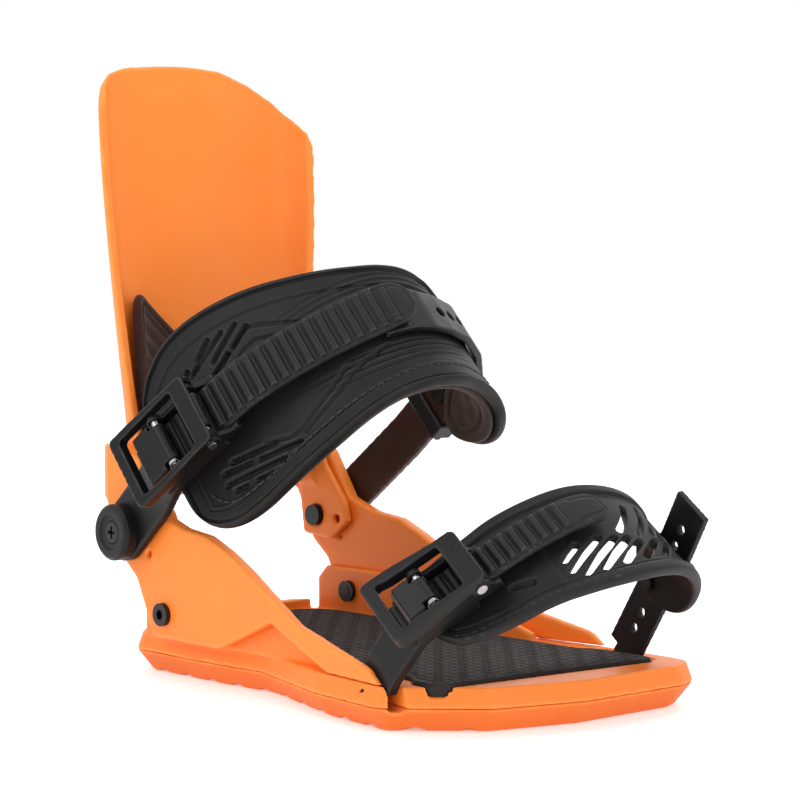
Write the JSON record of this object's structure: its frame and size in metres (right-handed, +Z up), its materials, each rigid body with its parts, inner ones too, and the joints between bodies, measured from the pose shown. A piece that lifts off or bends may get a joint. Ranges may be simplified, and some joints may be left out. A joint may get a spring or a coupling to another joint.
{
  "type": "strap-in snowboard binding",
  "caption": "Strap-in snowboard binding with highback, ratchet ankle and toe straps, and a turning mounting disc in its base.",
  "frame": {"origin": "centre of the mounting disc on the board's surface", "axes": "+X towards the toe, +Y towards the medial side, +Z up from the board"},
  "size_m": [0.2698, 0.1548, 0.266],
  "materials": {
    "orange_tray": "satin moulded nylon",
    "orange_sole": "matte moulded foam rubber",
    "orange_shell": "satin moulded nylon",
    "black_plastic": "fine moulded texture",
    "black_gloss": "satin sheen",
    "pad_shell": "soft moulded skin",
    "pad_foam": "foam with a fine knit face",
    "footbed_foam": "moulded foam tiles",
    "steel_black": "black oxide",
    "steel_bright": "machined",
    "disc_plastic": "glass-filled nylon"
  },
  "bodies": {
    "base": {"baseplate": "orange_tray", "base_sole": "orange_sole", "footbed": "footbed_foam", "heelcup": "orange_shell", "heelcup_bolts": "steel_black", "heelcup_nuts": "steel_bright", "pivot_sleeves": "black_plastic", "pivot_caps": "black_plastic", "pivot_screws": "steel_black", "pivot_nuts": "steel_black", "toe_axles": "steel_black"},
    "disc": {"mounting_disc": "disc_plastic"},
    "highback": {"highback": "orange_shell", "highback_pad": "pad_foam"},
    "lean_adjuster": {"lean_block": "black_plastic", "lean_screw": "steel_black", "lean_nut": "steel_bright"},
    "ankle_strap": {"ankle_arm_near": "black_plastic", "ankle_arm_far": "black_plastic", "ankle_pad": "pad_shell", "ankle_liner": "pad_foam", "ankle_connector": "black_plastic", "ankle_keeper": "black_plastic", "ankle_ladder": "black_plastic", "ankle_ladder_screw": "steel_black", "connector_bolt": "steel_black", "connector_nut": "steel_black", "ankle_buckle_base": "black_plastic", "ankle_buckle_pins": "steel_bright", "ankle_buckle_springs": "steel_bright"},
    "ankle_lever": {"ankle_buckle_lever": "black_gloss"},
    "ankle_tab": {"ankle_release_tab": "black_plastic"},
    "toe_strap": {"toe_arm_near": "black_plastic", "toe_adjuster": "black_plastic", "toe_adjuster_bolt": "steel_black", "toe_pad": "pad_shell", "toe_slider": "black_plastic", "toe_ladder": "black_plastic", "toe_ladder_screw": "steel_black", "toe_buckle_base": "black_plastic", "toe_buckle_pins": "steel_bright", "toe_buckle_springs": "steel_bright"},
    "toe_lever": {"toe_buckle_lever": "black_gloss"},
    "toe_tab": {"toe_release_tab": "black_plastic"}
  },
  "joints": [
    {"name": "disc_turn", "type": "hinge", "parent": "base", "child": "disc", "pos_m": [0, 0, 0.005], "axis": [0, 0, 1], "range_deg": [-45, 45]},
    {"name": "highback_fold", "type": "hinge", "parent": "base", "child": "highback", "pos_m": [-0.105, 0, 0.061], "axis": [0, 1, 0], "range_deg": [0, 12]},
    {"name": "lean_slide", "type": "slide", "parent": "highback", "child": "lean_adjuster", "axis": [0, 0, 1], "range_m": [0, 0.014]},
    {"name": "ankle_swing", "type": "hinge", "parent": "base", "child": "ankle_strap", "pos_m": [-0.105, 0, 0.061], "axis": [0, 1, 0], "range_deg": [-10, 6]},
    {"name": "ankle_lever_open", "type": "hinge", "parent": "ankle_strap", "child": "ankle_lever", "pos_m": [-0.04467, -0.06853, 0.11345], "axis": [-0.6561, 0, 0.7547], "range_deg": [0, 80], "stiffness_Nm_per_rad": 0.02, "springref_deg": -20.05},
    {"name": "ankle_tab_lift", "type": "hinge", "parent": "ankle_strap", "child": "ankle_tab", "pos_m": [-0.05937, -0.07303, 0.10066], "axis": [-0.6561, 0, 0.7547], "range_deg": [0, 18], "stiffness_Nm_per_rad": 0.02, "springref_deg": -20.05},
    {"name": "toe_swing", "type": "hinge", "parent": "base", "child": "toe_strap", "pos_m": [0.0586, 0, 0.0134], "axis": [0.1736, 0.9848, 0], "range_deg": [-45, 14]},
    {"name": "toe_lever_open", "type": "hinge", "parent": "toe_strap", "child": "toe_lever", "pos_m": [0.08382, -0.04755, 0.06247], "axis": [-0.8164, 0.144, 0.5592], "range_deg": [0, 80], "stiffness_Nm_per_rad": 0.02, "springref_deg": -20.05},
    {"name": "toe_tab_lift", "type": "hinge", "parent": "toe_strap", "child": "toe_tab", "pos_m": [0.07538, -0.05854, 0.05297], "axis": [-0.8164, 0.144, 0.5592], "range_deg": [0, 18], "stiffness_Nm_per_rad": 0.02, "springref_deg": -20.05}
  ]
}
